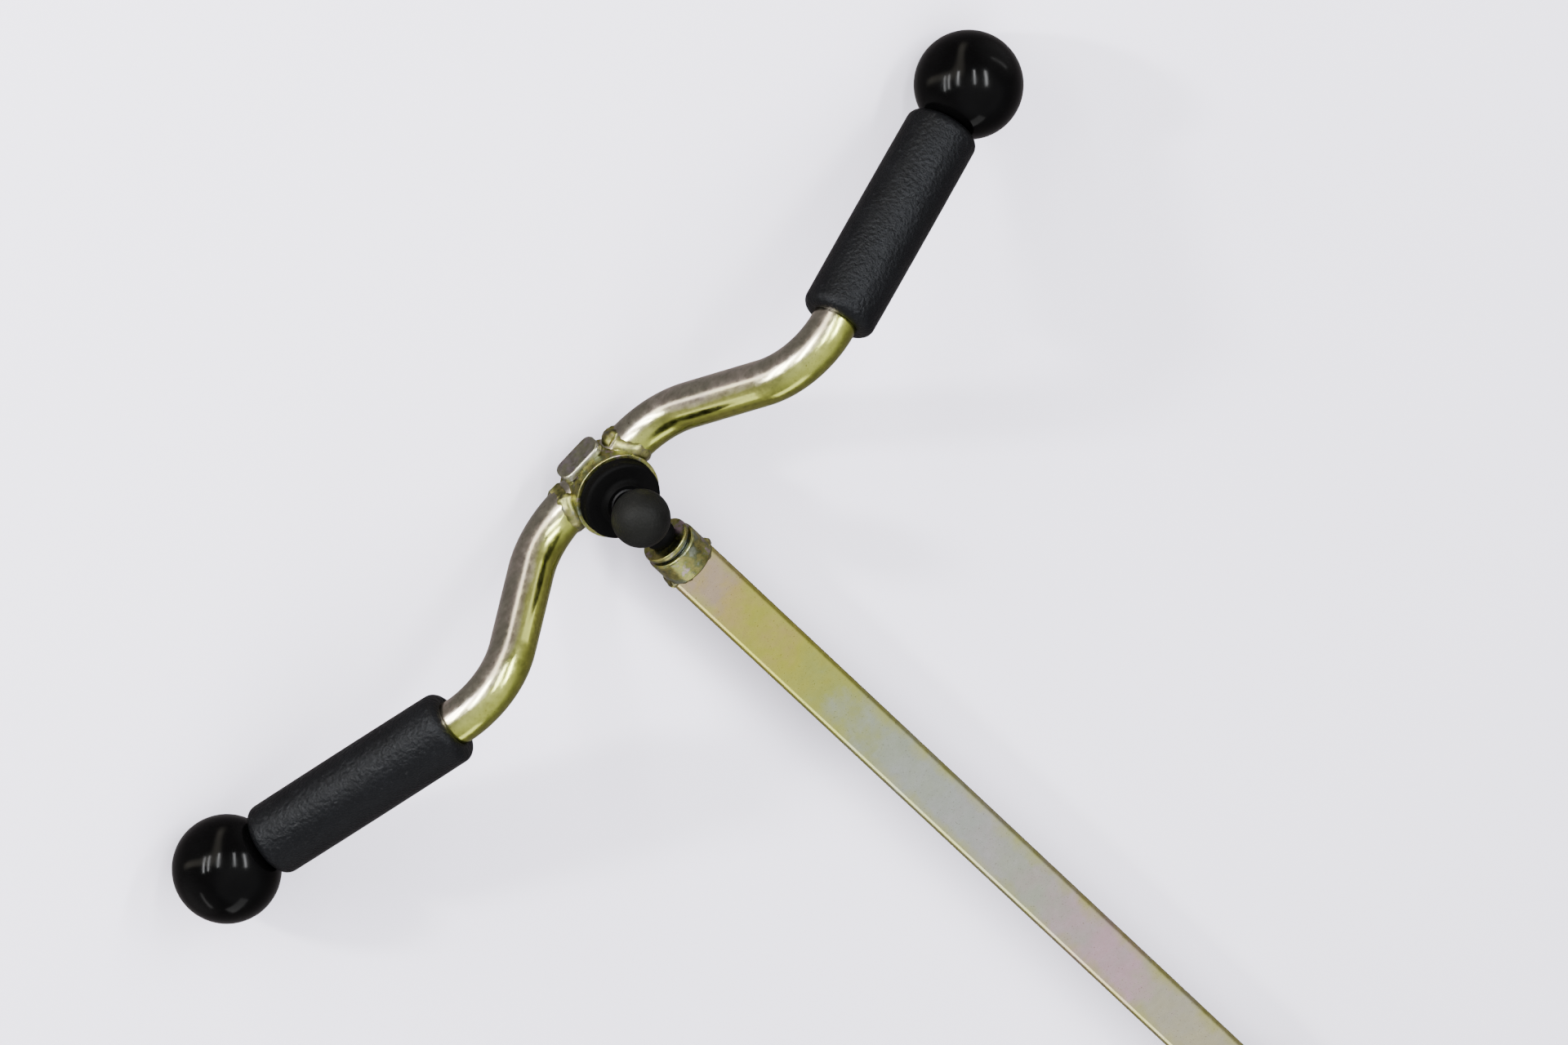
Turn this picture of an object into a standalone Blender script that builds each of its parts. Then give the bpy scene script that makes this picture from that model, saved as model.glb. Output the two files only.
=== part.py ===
"""Two-handed winch handle: a flat steel arm with a square drive boss at one end, and at the
other a gull-wing handlebar that turns on a spindle and is locked by a spring plunger.

The arm lies along Y and the handle is centred on the origin: the drive socket is at DRIVE_Y
and the handlebar's tubes cross the arm at HANDLE_Y. +Z is up, the way the plunger's knob is
pulled, and the handle rests on the surface z = 0 with its end knobs and its drive boss.
"""
import math

import bmesh
import bpy
from mathutils import Vector

MM = 0.001
GAP = 0.3                      # clearance between pieces that touch

# Driving dimensions, in millimetres
ARM_LENGTH = 550.0             # drive axis to handlebar axis
BALL_R = 25.0                  # end knobs, which the handle rests on
SPINDLE_Z = BALL_R             # height of the spindle's axis over the surface

BAR_WIDTH = 25.4
BAR_THICK = 8.0
BAR_CHAMFER = 1.3

TUBE_R = 10.65                 # half inch pipe
TUBE_WALL = 2.6
BALL_X = 244.6                 # centre of the end knob
DROOP = math.radians(23.0)     # fall of the grips
RISE = math.radians(45.0)      # climb of the tubes from the hub
RISE_X = 38.7                  # corner where the climb starts
LOW_BEND_R = 45.0
HIGH_BEND_R = 37.0

STUD_R = 4.0
INSERT_R = 6.5
BALL_FLAT_R = 9.0              # flat around the insert, where the stud enters
GRIP_R = 17.3
GRIP_INNER = 130.3             # distances from the end knob's centre, along the grip
GRIP_OUTER = 22.8
TUBE_END = 27.5

HOUSING_R = 20.5
HOUSING_BACK = 6.5             # the housing's axis lies this far towards the drive
HOUSING_LOW = -7.0             # heights here are measured from the spindle's axis
HOUSING_TOP = 12.9
CUP_R = 17.2
CUP_FLOOR = 8.6

SLEEVE_WIDTH = 23.0
SLEEVE_HEIGHT = 13.9
SLEEVE_CORNER = 4.5
SLEEVE_REAR = -12.0            # along the arm from the handlebar axis, towards the drive
SLEEVE_FRONT = 30.0
CAP_REAR = -16.3

SPINDLE_R = 5.0
SPINDLE_REAR = -11.5
RUNNING_GAP = 0.25             # between the spindle and its bushes
BUSH_R = 5.9
BUSH_LENGTH = 9.0
FRONT_FLANGE = 1.2
COLLAR_R = 11.9
COLLAR_FROM = 50.9
COLLAR_TO = 53.5
THRUST_R = 10.4
BOSS_R = 12.7
BOSS_FROM = 55.3
BOSS_TO = 69.7

DRIVE_R = 19.0
DRIVE_HEIGHT = 36.0
DRIVE_SQUARE = 16.0
LOCK_SCREW_R = 4.0
LOCK_SCREW_REACH = 26.5        # end of the screw's head, from the drive axis

DRIVE_Y = (LOCK_SCREW_REACH - ARM_LENGTH - BALL_R) / 2
HANDLE_Y = DRIVE_Y + ARM_LENGTH

KNOB_R = 13.5
KNOB_Z = 37.6
KNOB_FLAT_R = 5.6
STEM_R = 3.0
PIN_COLLAR_R = 5.0
GUIDE_R = 7.4
GUIDE_BORE = 5.5
GUIDE_TOP = 22.0
GROOVE_DEPTH = 1.6             # the pin's nose runs in a groove around the spindle

ROUND = 32                     # sides of the turned pieces
TUBE_SIDES = 16

COLOURS = {
    "zinc": ((0.62, 0.57, 0.30), 0.30, 1.0),
    "dark_steel": ((0.25, 0.26, 0.28), 0.40, 1.0),
    "brass": ((0.72, 0.52, 0.22), 0.30, 1.0),
    "bronze": ((0.55, 0.36, 0.18), 0.40, 1.0),
    "spring_steel": ((0.60, 0.60, 0.62), 0.30, 1.0),
    "grip_rubber": ((0.020, 0.020, 0.022), 0.75, 0.0),
    "boot_rubber": ((0.025, 0.025, 0.027), 0.70, 0.0),
    "ball_plastic": ((0.010, 0.010, 0.012), 0.12, 0.0),
    "knob_plastic": ((0.030, 0.030, 0.033), 0.45, 0.0),
}


def clear_scene():
    for thing in list(bpy.data.objects):
        bpy.data.objects.remove(thing, do_unlink=True)


def new_collection(name):
    collection = bpy.data.collections.new(name)
    bpy.context.scene.collection.children.link(collection)
    return collection


def paint(thing, kind):
    """Give a piece a material of its own."""
    colour, roughness, metallic = COLOURS[kind]
    material = bpy.data.materials.new(thing.name + "_" + kind)
    material.use_nodes = True
    shader = material.node_tree.nodes["Principled BSDF"]
    shader.inputs["Base Color"].default_value = (*colour, 1.0)
    shader.inputs["Roughness"].default_value = roughness
    shader.inputs["Metallic"].default_value = metallic
    thing.data.materials.append(material)


def place(thing, at, towards):
    """Move a piece to a point in millimetres and turn its own Z to a direction."""
    turn = Vector((0.0, 0.0, 1.0)).rotation_difference(Vector(towards).normalized())
    thing.location = Vector(at) * MM
    thing.rotation_mode = "QUATERNION"
    thing.rotation_quaternion = turn


def hide_cutter(thing):
    thing.hide_render = True
    thing.display_type = "WIRE"


def cut(thing, cutter):
    """Take a cutter's shape out of a piece."""
    modifier = thing.modifiers.new("cut_" + cutter.name, "BOOLEAN")
    modifier.operation = "DIFFERENCE"
    modifier.solver = "EXACT"
    modifier.object = cutter


def turned(name, profile, at, towards, steps=ROUND, closed=False, group=None):
    """Turn a profile of (radius, height) points, given down its outer side."""
    mesh = bpy.data.meshes.new(name)
    points = [(r * MM, 0.0, z * MM) for r, z in profile]
    edges = [(i, i + 1) for i in range(len(points) - 1)]
    if closed:
        edges.append((len(points) - 1, 0))
    mesh.from_pydata(points, edges, [])
    thing = bpy.data.objects.new(name, mesh)
    (group or parts).objects.link(thing)
    screw = thing.modifiers.new("turn", "SCREW")
    screw.steps = steps
    screw.render_steps = steps
    screw.use_merge_vertices = True
    screw.merge_threshold = 0.00001
    screw.use_smooth_shade = True
    place(thing, at, towards)
    return thing


def rod(name, radius, bottom, top, at, towards, steps=ROUND, chamfer=0.0, group=None):
    """A plain round rod, with its ends chamfered if asked."""
    profile = [(0.0, top), (radius - chamfer, top)]
    if chamfer:
        profile.append((radius, top - chamfer))
        profile.append((radius, bottom + chamfer))
    profile += [(radius - chamfer, bottom), (0.0, bottom)]
    return turned(name, profile, at, towards, steps, group=group)


def ring(name, outer, inner, bottom, top, at, towards, chamfer=0.0, steps=ROUND, group=None):
    """A tube or washer with its outer edges chamfered if asked."""
    profile = [(inner, top), (outer - chamfer, top)]
    if chamfer:
        profile.append((outer, top - chamfer))
        profile.append((outer, bottom + chamfer))
    profile += [(outer - chamfer, bottom), (inner, bottom)]
    return turned(name, profile, at, towards, steps, closed=True, group=group)


def block(name, size, centre, group=None):
    """A box of a size in millimetres about a centre."""
    mesh = bpy.data.meshes.new(name)
    shape = bmesh.new()
    bmesh.ops.create_cube(shape, size=1.0)
    bmesh.ops.scale(shape, vec=Vector(size) * MM, verts=shape.verts)
    shape.to_mesh(mesh)
    shape.free()
    thing = bpy.data.objects.new(name, mesh)
    thing.location = Vector(centre) * MM
    (group or parts).objects.link(thing)
    return thing


def bevel(thing, width, segments=1, angle=30.0):
    modifier = thing.modifiers.new("edges", "BEVEL")
    modifier.width = width * MM
    modifier.segments = segments
    modifier.limit_method = "ANGLE"
    modifier.angle_limit = math.radians(angle)
    return modifier


def rounded_bar(name, width, height, corner, rear, front, group=None):
    """A bar along the arm whose section is a rectangle with round corners."""
    mesh = bpy.data.meshes.new(name)
    shape = bmesh.new()
    outline = []
    for quarter in range(4):
        for step in range(5):
            angle = math.radians(90.0 * quarter + 22.5 * step)
            middle_x = (width / 2 - corner) * (1 if quarter in (0, 3) else -1)
            middle_z = (height / 2 - corner) * (1 if quarter in (0, 1) else -1)
            outline.append((middle_x + corner * math.cos(angle), middle_z + corner * math.sin(angle)))
    face = shape.faces.new([shape.verts.new((x * MM, -front * MM, z * MM)) for x, z in outline])
    pulled = bmesh.ops.extrude_face_region(shape, geom=[face])
    moved = [item for item in pulled["geom"] if isinstance(item, bmesh.types.BMVert)]
    bmesh.ops.translate(shape, vec=(0.0, (front - rear) * MM, 0.0), verts=moved)
    bmesh.ops.recalc_face_normals(shape, faces=shape.faces)
    shape.to_mesh(mesh)
    shape.free()
    thing = bpy.data.objects.new(name, mesh)
    thing.location = Vector(hub(0.0)) * MM
    (group or parts).objects.link(thing)
    return thing


def hub(back, height=0.0, side=0.0):
    """A point near the hub: towards the drive, up from the spindle's axis, and sideways."""
    return (side, HANDLE_Y - back, SPINDLE_Z + height)


ALONG = (0.0, -1.0, 0.0)       # from the handlebar to the drive
UP = (0.0, 0.0, 1.0)


# Handlebar ---------------------------------------------------------------------------------

def bend_points(before, corner, after, radius, count):
    """Points of an arc that rounds off a corner of a path."""
    enter = (corner - before).normalized()
    leave = (after - corner).normalized()
    turn = enter.angle(leave)
    reach = radius * math.tan(turn / 2)
    start = corner - enter * reach
    inward = (leave - enter * enter.dot(leave)).normalized()
    middle = start + inward * radius
    arc = []
    for step in range(count + 1):
        angle = turn * step / count
        arc.append(middle - inward * radius * math.cos(angle) + enter * radius * math.sin(angle))
    return arc


def grip_point(distance):
    """A point of the right grip's axis, this far from the end knob's centre."""
    return Vector((BALL_X - distance * math.cos(DROOP), 0.0, distance * math.sin(DROOP)))


def tube_path():
    """The right tube's centre line, from the hub out to the end knob."""
    start = Vector((0.0, 0.0, 0.0))
    low_corner = Vector((RISE_X, 0.0, 0.0))
    climb = math.tan(RISE)
    fall = math.tan(DROOP)
    high_x = (BALL_X * fall + RISE_X * climb) / (climb + fall)
    high_corner = Vector((high_x, 0.0, (high_x - RISE_X) * climb))
    end = grip_point(TUBE_END)
    path = [start]
    path += bend_points(start, low_corner, high_corner, LOW_BEND_R, 8)
    path += bend_points(low_corner, high_corner, end, HIGH_BEND_R, 10)
    path.append(grip_point((TUBE_END + GRIP_INNER) / 2))
    path.append(end)
    return path


def swept_tube(name, path, radius, group=None):
    """A round bar along a path, as a mesh whose ends are closed."""
    curve = bpy.data.curves.new(name, "CURVE")
    curve.dimensions = "3D"
    curve.bevel_depth = radius * MM
    curve.bevel_resolution = (TUBE_SIDES - 4) // 2
    curve.use_fill_caps = True
    spline = curve.splines.new("POLY")
    spline.points.add(len(path) - 1)
    for point, place_mm in zip(spline.points, path):
        point.co = (*(place_mm * MM), 1.0)
    holder = bpy.data.objects.new(name + "_path", curve)
    parts.objects.link(holder)
    bpy.context.view_layer.update()
    evaluated = holder.evaluated_get(bpy.context.evaluated_depsgraph_get())
    mesh = bpy.data.meshes.new_from_object(evaluated)
    shape = bmesh.new()
    shape.from_mesh(mesh)
    bmesh.ops.remove_doubles(shape, verts=shape.verts, dist=0.000001)
    bmesh.ops.recalc_face_normals(shape, faces=shape.faces)
    shape.to_mesh(mesh)
    shape.free()
    thing = bpy.data.objects.new(name, mesh)
    thing.matrix_world = holder.matrix_world
    bpy.data.objects.remove(holder, do_unlink=True)
    (group or parts).objects.link(thing)
    thing.data.shade_smooth()
    return thing


def mirror_path(path, side):
    return [Vector((point.x * side, HANDLE_Y, point.z + SPINDLE_Z)) for point in path]


def ball_cutter(name, radius, centre, towards):
    """A ball-shaped cutter."""
    steps = 16
    profile = []
    for step in range(steps + 1):
        angle = math.pi * step / steps
        profile.append((radius * math.sin(angle), radius * math.cos(angle)))
    profile[0] = (0.0, radius)
    profile[-1] = (0.0, -radius)
    ball = turned(name, profile, centre, towards, group=cutters)
    hide_cutter(ball)
    return ball


def handlebar_side(name, side):
    """One tube with its grip, plug, stud, insert and end knob; side is 1 right, -1 left."""
    path = tube_path()
    tube = swept_tube(name + "_tube", mirror_path(path, side), TUBE_R)
    before = path[0] - Vector((5.0, 0.0, 0.0))
    after = path[-1] + (path[-1] - path[-2]).normalized() * 5.0
    bore_path = mirror_path([before] + path + [after], side)
    bore = swept_tube(name + "_tube_bore", bore_path, TUBE_R - TUBE_WALL, cutters)
    hide_cutter(bore)
    cut(tube, bore)
    cut(tube, housing_gap)
    paint(tube, "zinc")

    outward = Vector((side * math.cos(DROOP), 0.0, -math.sin(DROOP)))
    centre = Vector((side * BALL_X, HANDLE_Y, SPINDLE_Z))

    rounding = 3.0
    grip_profile = [
        (TUBE_R + GAP, -GRIP_OUTER),
        (GRIP_R - rounding, -GRIP_OUTER),
        (GRIP_R - 0.3 * rounding, -GRIP_OUTER - 0.3 * rounding),
        (GRIP_R, -GRIP_OUTER - rounding),
        (GRIP_R, -GRIP_INNER + rounding),
        (GRIP_R - 0.3 * rounding, -GRIP_INNER + 0.3 * rounding),
        (GRIP_R - rounding, -GRIP_INNER),
        (TUBE_R + GAP, -GRIP_INNER),
    ]
    grip = turned(name + "_grip", grip_profile, centre, outward, closed=True)
    ball_gap = ball_cutter(name + "_ball_gap", BALL_R + GAP, centre, outward)
    cut(grip, ball_gap)
    paint(grip, "grip_rubber")

    plug = ring(name + "_tube_plug", TUBE_R - TUBE_WALL - GAP, STUD_R + GAP, -TUBE_END - 14.0, -TUBE_END,
                centre, outward, chamfer=0.5, steps=24)
    paint(plug, "dark_steel")
    stud = rod(name + "_ball_stud", STUD_R, -TUBE_END - 13.0, -2.0, centre, outward, steps=20, chamfer=0.6)
    paint(stud, "dark_steel")
    insert = ring(name + "_ball_insert", INSERT_R, STUD_R + GAP, -BALL_R + 0.8, -1.0, centre, outward,
                  chamfer=0.5, steps=24)
    paint(insert, "brass")

    ball_profile = [(0.0, BALL_R)]
    flat_angle = math.asin(BALL_FLAT_R / BALL_R)
    steps = 12
    for step in range(1, steps + 1):
        angle = (math.pi - flat_angle) * step / steps
        ball_profile.append((BALL_R * math.sin(angle), BALL_R * math.cos(angle)))
    bottom = ball_profile[-1][1]
    ball_profile += [(INSERT_R + GAP, bottom), (INSERT_R + GAP, 0.0), (0.0, 0.0)]
    ball = turned(name + "_ball", ball_profile, centre, outward)
    paint(ball, "ball_plastic")


# Hub ---------------------------------------------------------------------------------------

def make_hub():
    axis = hub(HOUSING_BACK)

    sleeve = rounded_bar("hub_sleeve", SLEEVE_WIDTH, SLEEVE_HEIGHT, SLEEVE_CORNER, SLEEVE_REAR, SLEEVE_FRONT)
    bore = rod("sleeve_bore", SPINDLE_R + GAP, SLEEVE_REAR - 5.0, SLEEVE_FRONT + 5.0, hub(0.0), ALONG,
               group=cutters)
    rear_pocket = rod("rear_pocket", BUSH_R + 0.2, SLEEVE_REAR - 5.0, SLEEVE_REAR + BUSH_LENGTH, hub(0.0),
                      ALONG, group=cutters)
    front_pocket = rod("front_pocket", BUSH_R + 0.2, SLEEVE_FRONT - BUSH_LENGTH, SLEEVE_FRONT + 5.0, hub(0.0),
                       ALONG, group=cutters)
    pin_hole = rod("pin_hole", STEM_R + GAP, 0.0, 20.0, axis, UP, steps=24, group=cutters)
    for cutter in (bore, rear_pocket, front_pocket, pin_hole):
        hide_cutter(cutter)
        cut(sleeve, cutter)
    paint(sleeve, "zinc")

    housing_profile = [
        (0.0, CUP_FLOOR),
        (CUP_R, CUP_FLOOR),
        (CUP_R, HOUSING_TOP),
        (HOUSING_R - 0.6, HOUSING_TOP),
        (HOUSING_R, HOUSING_TOP - 0.6),
        (HOUSING_R, HOUSING_LOW + 0.8),
        (HOUSING_R - 0.8, HOUSING_LOW),
        (0.0, HOUSING_LOW),
    ]
    housing = turned("hub_housing", housing_profile, axis, UP, steps=48)
    passage = rounded_bar("sleeve_passage", SLEEVE_WIDTH + 2 * GAP, SLEEVE_HEIGHT + 2 * GAP,
                          SLEEVE_CORNER + GAP, SLEEVE_REAR - 20.0, SLEEVE_FRONT + 20.0, cutters)
    guide_hole = rod("guide_hole", GUIDE_R + GAP, 0.0, 20.0, axis, UP, group=cutters)
    for cutter in (passage, guide_hole):
        hide_cutter(cutter)
        cut(housing, cutter)
    paint(housing, "zinc")

    cap = rounded_bar("hub_end_cap", SLEEVE_WIDTH, SLEEVE_HEIGHT, SLEEVE_CORNER, CAP_REAR, SLEEVE_REAR - GAP)
    bevel(cap, 0.7)
    paint(cap, "zinc")

    rear_bush = ring("rear_bush", BUSH_R, SPINDLE_R + RUNNING_GAP, SLEEVE_REAR,
                     SLEEVE_REAR + BUSH_LENGTH - GAP, hub(0.0), ALONG, steps=32)
    paint(rear_bush, "bronze")
    front_profile = [
        (SPINDLE_R + RUNNING_GAP, SLEEVE_FRONT + GAP + FRONT_FLANGE),
        (SPINDLE_R + 3.0, SLEEVE_FRONT + GAP + FRONT_FLANGE),
        (SPINDLE_R + 3.0, SLEEVE_FRONT + GAP),
        (BUSH_R, SLEEVE_FRONT + GAP),
        (BUSH_R, SLEEVE_FRONT - BUSH_LENGTH + GAP),
        (SPINDLE_R + RUNNING_GAP, SLEEVE_FRONT - BUSH_LENGTH + GAP),
    ]
    front_bush = turned("front_bush", front_profile, hub(0.0), ALONG, steps=32, closed=True)
    paint(front_bush, "bronze")


def make_plunger():
    axis = hub(HOUSING_BACK)
    floor = SLEEVE_HEIGHT / 2 + GAP
    guide_profile = [
        (STEM_R + GAP, GUIDE_TOP),
        (GUIDE_R - 0.8, GUIDE_TOP),
        (GUIDE_R, GUIDE_TOP - 0.8),
        (GUIDE_R, CUP_FLOOR + 2.3),
        (GUIDE_R + 2.6, CUP_FLOOR + 2.3),
        (GUIDE_R + 2.6, CUP_FLOOR + GAP),
        (GUIDE_R, CUP_FLOOR + GAP),
        (GUIDE_R, floor),
        (STEM_R + GAP, floor),
        (STEM_R + GAP, floor + 1.5),
        (GUIDE_BORE, floor + 1.5),
        (GUIDE_BORE, GUIDE_TOP - 1.8),
        (STEM_R + GAP, GUIDE_TOP - 1.8),
    ]
    guide = turned("plunger_guide", guide_profile, axis, UP, steps=32, closed=True)
    paint(guide, "dark_steel")

    boot_profile = [
        (GUIDE_R + GAP, GUIDE_TOP - 0.4),
        (9.2, GUIDE_TOP - 0.4),
        (9.8, 20.2),
        (11.2, 19.2),
        (17.2, 19.2),
        (18.3, 18.7),
        (18.6, 17.6),
        (18.2, 15.0),
        (16.9, HOUSING_TOP + 0.2),
        (16.9, CUP_FLOOR + GAP),
        (GUIDE_R + 2.9, CUP_FLOOR + GAP),
        (GUIDE_R + 2.9, CUP_FLOOR + 2.6),
        (GUIDE_R + GAP, CUP_FLOOR + 2.6),
    ]
    boot = turned("plunger_boot", boot_profile, axis, UP, closed=True)
    paint(boot, "boot_rubber")

    collar_low = floor + 1.5 + GAP
    nose = SPINDLE_R - GROOVE_DEPTH + GAP
    pin_profile = [
        (0.0, KNOB_Z - 1.0),
        (STEM_R, KNOB_Z - 1.0),
        (STEM_R, collar_low + 2.0),
        (PIN_COLLAR_R, collar_low + 2.0),
        (PIN_COLLAR_R, collar_low),
        (STEM_R, collar_low),
        (STEM_R, nose + 0.6),
        (STEM_R - 0.6, nose),
        (0.0, nose),
    ]
    pin = turned("plunger_pin", pin_profile, axis, UP, steps=24)
    paint(pin, "dark_steel")

    knob_profile = [(0.0, KNOB_Z + KNOB_R)]
    flat_angle = math.asin(KNOB_FLAT_R / KNOB_R)
    steps = 10
    for step in range(1, steps + 1):
        angle = (math.pi - flat_angle) * step / steps
        knob_profile.append((KNOB_R * math.sin(angle), KNOB_Z + KNOB_R * math.cos(angle)))
    knob_profile += [
        (STEM_R + GAP, knob_profile[-1][1]),
        (STEM_R + GAP, KNOB_Z - 0.5),
        (0.0, KNOB_Z - 0.5),
    ]
    knob = turned("plunger_knob", knob_profile, axis, UP)
    paint(knob, "knob_plastic")

    spring_low = collar_low + 2.0 + GAP
    spring_high = GUIDE_TOP - 1.8 - GAP
    make_spring("plunger_spring", axis, spring_low, spring_high)


def make_spring(name, axis, low, high):
    """An open coil about the plunger's stem."""
    wire_r = 0.45
    coil_r = STEM_R + 1.3
    turns = 4
    per_turn = 12
    bottom = low + wire_r
    climb = high - low - 2 * wire_r
    path = []
    for step in range(turns * per_turn + 1):
        share = step / (turns * per_turn)
        angle = 2 * math.pi * turns * share
        path.append(Vector((axis[0] + coil_r * math.cos(angle), axis[1] + coil_r * math.sin(angle),
                            axis[2] + bottom + climb * share)))
    curve = bpy.data.curves.new(name, "CURVE")
    curve.dimensions = "3D"
    curve.bevel_depth = wire_r * MM
    curve.bevel_resolution = 1
    curve.use_fill_caps = True
    spline = curve.splines.new("POLY")
    spline.points.add(len(path) - 1)
    for point, place_mm in zip(spline.points, path):
        point.co = (*(place_mm * MM), 1.0)
    thing = bpy.data.objects.new(name, curve)
    parts.objects.link(thing)
    paint(thing, "spring_steel")


# Spindle and arm -----------------------------------------------------------------------------

def make_spindle():
    spindle = rod("spindle", SPINDLE_R, SPINDLE_REAR, BOSS_TO - 1.5, hub(0.0), ALONG, chamfer=0.8)
    groove = ring("spindle_groove", SPINDLE_R + 2.0, SPINDLE_R - GROOVE_DEPTH, HOUSING_BACK - STEM_R - GAP,
                  HOUSING_BACK + STEM_R + GAP, hub(0.0), ALONG, group=cutters)
    hide_cutter(groove)
    cut(spindle, groove)
    paint(spindle, "dark_steel")

    collar = ring("spindle_collar", COLLAR_R, SPINDLE_R + GAP, COLLAR_FROM, COLLAR_TO, hub(0.0), ALONG,
                  chamfer=0.7, steps=40)
    paint(collar, "zinc")
    thrust = ring("thrust_washer", THRUST_R, SPINDLE_R + GAP, COLLAR_TO + GAP, BOSS_FROM - GAP,
                  hub(0.0), ALONG)
    paint(thrust, "dark_steel")

    boss = ring("spindle_boss", BOSS_R, SPINDLE_R + GAP, BOSS_FROM, BOSS_TO, hub(0.0), ALONG, chamfer=0.8,
                steps=40)
    paint(boss, "zinc")

    start = SLEEVE_FRONT + FRONT_FLANGE + 2 * GAP
    end = COLLAR_FROM - GAP
    folds = 3
    fold = (end - start) / folds
    profile = [(SPINDLE_R + GAP, end), (6.0, end)]
    for index in range(folds):
        top = end - fold * index
        profile += [(7.2, top - 0.25 * fold), (7.4, top - 0.5 * fold), (7.2, top - 0.75 * fold)]
        profile.append((6.2, top - fold if index < folds - 1 else start))
    profile.append((SPINDLE_R + GAP, start))
    boot = turned("spindle_boot", profile, hub(0.0), ALONG, steps=24, closed=True)
    paint(boot, "boot_rubber")


def make_arm():
    foot = (0.0, DRIVE_Y, 0.0)
    bar_length = ARM_LENGTH - BOSS_TO - GAP
    bar = block("arm_bar", (BAR_WIDTH, bar_length, BAR_THICK), (0.0, DRIVE_Y + bar_length / 2, SPINDLE_Z))
    bevel(bar, BAR_CHAMFER)
    boss_gap = rod("drive_boss_gap", DRIVE_R + GAP, -10.0, 60.0, foot, UP, steps=48, group=cutters)
    hide_cutter(boss_gap)
    cut(bar, boss_gap)
    paint(bar, "zinc")

    boss_profile = [
        (0.0, DRIVE_HEIGHT),
        (DRIVE_R - 1.5, DRIVE_HEIGHT),
        (DRIVE_R, DRIVE_HEIGHT - 1.5),
        (DRIVE_R, 1.5),
        (DRIVE_R - 1.5, 0.0),
        (0.0, 0.0),
    ]
    boss = turned("drive_boss", boss_profile, foot, UP, steps=48)
    middle = (0.0, DRIVE_Y, DRIVE_HEIGHT / 2)
    square = block("drive_square", (DRIVE_SQUARE, DRIVE_SQUARE, 80.0), middle, cutters)
    thread = rod("lock_screw_hole", LOCK_SCREW_R + GAP, 0.0, 40.0, middle, ALONG, steps=24, group=cutters)
    for cutter in (square, thread):
        hide_cutter(cutter)
        cut(boss, cutter)
    paint(boss, "zinc")

    head_from = DRIVE_R + 1.5
    screw = rod("drive_lock_screw", LOCK_SCREW_R, DRIVE_SQUARE / 2 + 0.5, head_from, middle, ALONG, steps=24)
    head = rod("lock_screw_head", 7.5, head_from - 0.2, LOCK_SCREW_REACH, middle, ALONG, steps=6,
               group=cutters)
    hide_cutter(head)
    join = screw.modifiers.new("head", "BOOLEAN")
    join.operation = "UNION"
    join.solver = "EXACT"
    join.object = head
    paint(screw, "dark_steel")


clear_scene()
parts = new_collection("winch_handle")
cutters = new_collection("cutters")

housing_gap = rod("housing_gap", HOUSING_R + GAP, HOUSING_LOW - 20.0, HOUSING_TOP + 20.0,
                  hub(HOUSING_BACK), UP, steps=48, group=cutters)
hide_cutter(housing_gap)

make_arm()
make_spindle()
make_hub()
make_plunger()
for side_name, side_sign in (("right", 1), ("left", -1)):
    handlebar_side(side_name, side_sign)
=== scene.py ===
"""Looks of the two-handed winch handle: fine meshes, weld beads, surfaces and the studio."""

import math

import bmesh
import bpy
from mathutils import Matrix, Vector, noise


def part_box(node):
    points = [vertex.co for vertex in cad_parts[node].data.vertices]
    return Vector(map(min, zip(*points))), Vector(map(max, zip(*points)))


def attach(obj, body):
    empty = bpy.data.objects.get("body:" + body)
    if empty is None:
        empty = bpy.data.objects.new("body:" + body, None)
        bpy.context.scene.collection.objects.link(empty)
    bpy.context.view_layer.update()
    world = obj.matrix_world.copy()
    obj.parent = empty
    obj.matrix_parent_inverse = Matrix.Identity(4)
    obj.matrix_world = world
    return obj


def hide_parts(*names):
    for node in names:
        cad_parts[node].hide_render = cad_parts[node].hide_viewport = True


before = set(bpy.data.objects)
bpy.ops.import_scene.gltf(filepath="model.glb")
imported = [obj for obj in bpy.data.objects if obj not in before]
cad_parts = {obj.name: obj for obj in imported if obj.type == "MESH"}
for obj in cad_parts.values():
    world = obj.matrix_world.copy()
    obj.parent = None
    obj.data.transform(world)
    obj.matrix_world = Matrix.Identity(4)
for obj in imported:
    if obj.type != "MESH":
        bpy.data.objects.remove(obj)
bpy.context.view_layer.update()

MM = 0.001

# Sizes of the CAD model that these meshes follow, in millimetres. Heights near the hub are
# measured from the spindle's axis, and "back" from the handlebar's plane towards the drive.
# The tubes rise from RISE_X at the angle RISE, and their grips droop at the angle DROOP. TUBE_END,
# GRIP_INNER and GRIP_OUTER are measured along the grip, from its end knob's centre.
# GAP is the clearance between CAD pieces, and SKIN the one between these finer meshes.
SPINDLE_Z = 25.0
ARM_LENGTH = 550.0
BALL_R = 25.0
BALL_X = 244.6
BALL_FLAT_R = 9.0
BALL_POCKET_R = 6.8
DROOP = math.radians(23.0)
RISE = math.radians(45.0)
RISE_X = 38.7
LOW_BEND_R = 45.0
HIGH_BEND_R = 37.0
TUBE_R = 10.65
TUBE_WALL = 2.6
TUBE_ROOT = 16.0
TUBE_END = 27.5
GRIP_R = 17.3
GRIP_INNER = 130.3
GRIP_OUTER = 22.8
HOUSING_BACK = 6.5
HOUSING_R = 20.5
HOUSING_LOW = -7.0
HOUSING_TOP = 12.9
CUP_R = 17.2
CUP_FLOOR = 8.6
SLEEVE_WIDTH = 23.0
SLEEVE_HEIGHT = 13.9
SLEEVE_CORNER = 4.5
SLEEVE_FRONT = 30.0
SLEEVE_REAR = -12.0
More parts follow.
